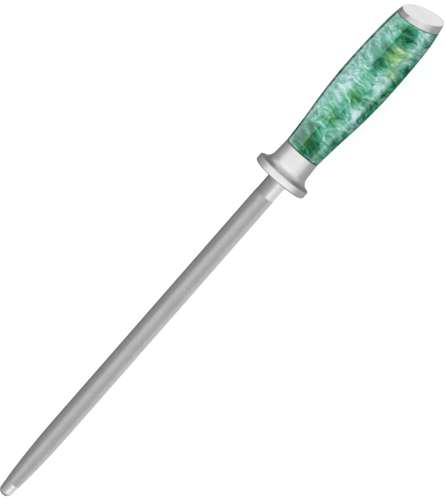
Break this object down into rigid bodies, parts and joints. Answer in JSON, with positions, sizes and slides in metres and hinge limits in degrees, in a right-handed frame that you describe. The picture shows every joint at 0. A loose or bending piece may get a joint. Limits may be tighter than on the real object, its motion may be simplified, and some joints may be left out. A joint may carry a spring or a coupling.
{
  "type": "knife sharpening steel",
  "caption": "Round coated sharpening rod with a rounded tip, a flanged bolster, a barrel-shaped marbled resin handle and an oblique steel end cap.",
  "frame": {"origin": "centre of the guard's front face, on the axis of the rod", "axes": "+X along the rod from its tip towards the end cap; +Z is the side that the end cap's oblique faces lean towards, up when the steel lies on a table; +Y completes the right-handed frame"},
  "size_m": [0.3885, 0.0364, 0.0364],
  "materials": {
    "polished_steel": "hardened rod steel, bare and polished at the collar and the tip",
    "grit_coating": "fine matt grit in a metal plating",
    "satin_cast_steel": "bead-blasted stainless casting, satin",
    "black_fibre": "black vulcanised fibre",
    "marbled_resin": "cast pearlescent resin, marbled in greens, polished to a high gloss",
    "cured_epoxy": "cured amber epoxy, not seen from outside",
    "plated_steel": "zinc-plated fastener steel, not seen from outside",
    "spring_steel": "blackened spring steel, not seen from outside",
    "brushed_cap_steel": "stainless steel, fine satin"
  },
  "bodies": {
    "root": {"rod_core": "polished_steel", "abrasive_coat": "grit_coating", "guard_bolster": "satin_cast_steel", "front_liner": "black_fibre", "resin_handle": "marbled_resin", "tang_epoxy": "cured_epoxy", "clamp_washer": "plated_steel", "spring_washer": "spring_steel", "tang_nut": "plated_steel", "rear_liner": "black_fibre", "end_cap": "brushed_cap_steel", "cap_epoxy": "cured_epoxy"}
  },
  "joints": []
}
